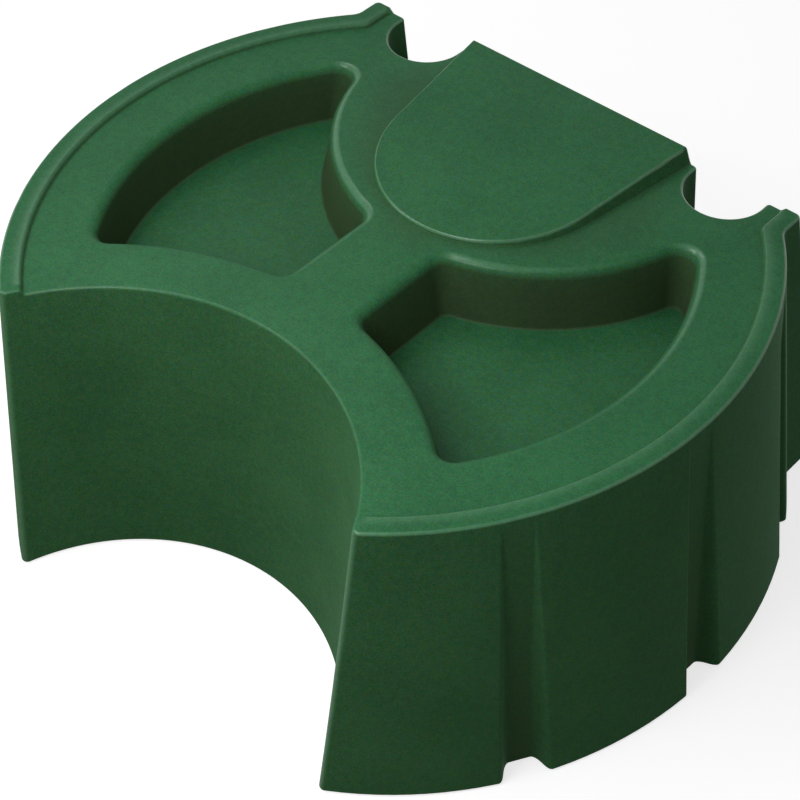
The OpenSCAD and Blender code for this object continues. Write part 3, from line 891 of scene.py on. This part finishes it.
head_t, head_r, shank_l, shank_r, shank_thread = 0.008, 0.0310, 0.019, 0.0211, 0.0008
drive_half, drive_corner_r, drive_depth = 0.0065, 0.0086, 0.012
sunk_ring, scallops, scallop_cut, scallop_depth = 0.0009, 12, 0.35, 0.0009
bung_green = moulded_green("bung_green", (0.0120, 0.0820, 0.0290, 1), (0.0180, 0.1040, 0.0390, 1), 0.15)
square = np.minimum(drive_half / np.maximum(np.abs(np.cos(angle)), np.abs(np.sin(angle))), drive_corner_r)
scallop = np.maximum(np.cos(scallops * angle), -scallop_cut) + scallop_cut
for name, middle in ports.items():
    head_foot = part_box(name + "_bung")[1].y - head_t
    start = floors[name] + middle_y - head_foot
    shank = np.arange(0.0012 - shank_l, -thread_end, thread_step)
    tip = [(0, -shank_l), (0.0190, -shank_l), (0.0202, 0.0008 - shank_l)]
    head = rounded([(shank_r, -0.0006), (0.0217, 0), (head_r, 0), (head_r, head_t), (0.0262, head_t),
                    (0.0256, head_t - sunk_ring), (0.0168, head_t - sunk_ring), (0.0160, head_t),
                    (0.0115, head_t)], 0.0010, False, 5)
    profile = np.concatenate([tip, np.stack([np.full(len(shank), shank_r), shank], 1), head])
    plug = turned(profile[:, 0], profile[:, 1], around)
    rim = (profile[:, 0] > 0.0302) & (profile[:, 1] > 0.0002) & (profile[:, 1] < head_t - 0.0002)
    reach = np.zeros((len(profile), around))
    reach[len(tip):len(tip) + len(shank)] = thread(shank, start, shank_thread)
    reach[rim] = -scallop_depth * scallop
    lip = np.array([(0.0009, 0), (0.0004, -0.00015), (0.0001, -0.0005), (0, -0.0012),
                    (0, 0.0006 - drive_depth), (-0.0006, -drive_depth)])
    drive = np.stack([(square + lip[:, :1]) * np.cos(angle), (square + lip[:, :1]) * np.sin(angle),
                      head_t + lip[:, 1:] + 0 * angle], -1)
    end = turned([0.0], [head_t - drive_depth], around)
    plug[..., 0] += reach * np.cos(angle)
    plug[..., 1] += reach * np.sin(angle)
    plug = np.concatenate([plug, drive, end])[..., to_rear]
    skin = (plug.reshape(-1, 3), grid_faces(*plug.shape[:2]), grid_normals(plug).reshape(-1, 3))
    bung = make_mesh(name + "_bung_plug", [skin], (middle.x, head_foot, middle.z))
    bung.data.materials.append(bung_green)
    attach(bung, name + "_plug")
    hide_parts(name + "_bung")


# ---- Feet ---------------------------------------------------------------------------
# Round rubber feet pushed into the pockets underneath, with ring-shaped treads and a well
# that takes the screw's head and washer clear of the ground.

foot_rubber = black_rubber("foot_rubber", (0.042, 0.041, 0.039, 1))
groove = ((0, 0), (0.0003, 0.0011), (0.0017, 0.0011), (0.0020, 0))
tread = [(r + out, z) for r in (0.0150, 0.0196, 0.0242) for out, z in groove]
outside = [(0.0300 - 0.0012, 0), (0.0300, 0.0014), (0.0300, 0.012), (0.00405, 0.012), (0.00405, 0.008)]
foot_profile = rounded([(0.0115, 0.008), (0.0115, 0)] + tread + outside, 0.0006)
for name, middle in feet.items():
    ring = turned(foot_profile[:, 0], foot_profile[:, 1], around)
    foot = make_mesh(name + "_pad", [ring_patch(ring)], (middle.x, middle.y, 0))
    foot.data.materials.append(foot_rubber)
    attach(foot, "block")
    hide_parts(name)


# ---- Inserts, washers and screws ----------------------------------------------------
# Brass inserts moulded into the bosses, and a socket-head steel screw with a washer that
# holds each foot. These keep their own solids.

steel = metal("zinc_plated_steel", (0.60, 0.61, 0.62, 1), 0.24, (900.0, 900.0, 120.0))
for name, surface in (("foot_inserts", brass), ("foot_washers", steel), ("foot_screws", steel)):
    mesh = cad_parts[name].data
    mesh.materials.clear()
    mesh.materials.append(surface)


# ---- Floor, light and camera --------------------------------------------------------
# The block stands on a pale floor under a wide soft light, as in a small studio. The floor
# looks white where nothing shades it.

spread = np.concatenate([[0.0], np.geomspace(0.5, 14, 14)])
ground = turned(spread, 0 * spread, around)
facing_up = np.tile([0.0, 0.0, 1.0], (ground.shape[0] * ground.shape[1], 1))
floor = make_mesh("floor", [(ground.reshape(-1, 3), grid_faces(*ground.shape[:2])[:, ::-1], facing_up)])


def direct_rays(wire):
    """1 for rays from the camera, off a mirror and through glass, and 0 for all others."""
    names = ("Is Camera Ray", "Is Glossy Ray", "Is Transmission Ray")
    camera, glossy, through = [wire.node("ShaderNodeLightPath", {}, {}, name) for name in names]
    return wire.maths("MAXIMUM", camera, wire.maths("MAXIMUM", glossy, through))


made, wire, shader, place = finish("floor_paper")
shade = wire.noise(place, 2.0, 2.0, 0.5)
connect(shader, base_color=wire.mixed(shade, (0.34, 0.29, 0.23, 1), (0.38, 0.33, 0.27, 1)), roughness=0.9)
shader.inputs["Specular IOR Level"].default_value = 0.1
direct = direct_rays(wire)
seen = wire.node("ShaderNodeBsdfDiffuse", {}, {"Color": (0.55, 0.55, 0.55, 1)})
glow = wire.node("ShaderNodeEmission", {}, {"Color": (1, 1, 1, 1), "Strength": 0.70})
both = wire.node("ShaderNodeAddShader", {}, {0: seen, 1: glow})
mixed = wire.node("ShaderNodeMixShader", {}, {0: direct, 1: Wire(wire.tree, shader.outputs[0]), 2: both})
output = next(n for n in wire.tree.nodes if n.type == "OUTPUT_MATERIAL")
wire.tree.links.new(mixed.socket, output.inputs["Surface"])
floor.data.materials.append(made)

world = bpy.data.worlds.new("studio")
bpy.context.scene.world = world
world.use_nodes = True
sky = Wire(world.node_tree)
background = world.node_tree.nodes["Background"]
up = sky.node("ShaderNodeSeparateXYZ", {}, {"Vector": sky.node("ShaderNodeTexCoord", {}, {}, "Generated")}, 2)
direct = direct_rays(sky)
strength = up.step(-0.1, 0.9) * 0.30 + 0.054
connect(background, color=(1, 1, 1, 1), strength=direct * (1 - strength) + strength)


def soft_light(name, place, aim, size, power):
    """A square area lamp that faces its aim."""
    lamp = bpy.data.lights.new(name, "AREA")
    lamp.shape, lamp.size, lamp.energy = "SQUARE", size, power
    stand = bpy.data.objects.new(name, lamp)
    stand.location = place
    stand.rotation_euler = (Vector(aim) - Vector(place)).to_track_quat("-Z", "Y").to_euler()
    bpy.context.scene.collection.objects.link(stand)


soft_light("key_light", (-1.25, -1.25, 1.80), (0, 0, 0.3), 0.35, 5.5)
soft_light("top_light", (-0.7, -0.5, 2.1), (0, -0.1, 0.3), 0.6, 7.5)
soft_light("near_light", (0.1, -0.75, 1.15), (0.1, -0.3, 0.4), 0.5, 4.6)
soft_light("front_light", (0.35, -1.0, 0.95), (0.1, -0.3, 0.35), 0.5, 1.7)
soft_light("left_light", (-1.6, -1.2, 0.5), (0.1, -0.2, 0.2), 0.6, 4.2)
soft_light("sheen_light", (-1.08, 0.53, 1.88), (0.05, -0.3, 0.4), 0.5, 3.5)

bpy.context.scene.view_settings.view_transform = "Standard"

azimuth, elevation, distance = np.radians(40.6), np.radians(46.4), 2.0354
aim = Vector((0.2676, middle_y - 0.1672, 0.4022))
away = Vector((np.cos(elevation) * np.sin(azimuth), -np.cos(elevation) * np.cos(azimuth), np.sin(elevation)))
lens = bpy.data.cameras.new("camera")
lens.sensor_width, lens.lens = 36.0, 87.6
lens.shift_x, lens.shift_y = -0.095, 0.032
camera = bpy.data.objects.new("camera", lens)
camera.location = aim + away * distance
camera.rotation_euler = (-away).to_track_quat("-Z", "Y").to_euler()
bpy.context.scene.collection.objects.link(camera)
bpy.context.scene.camera = camera
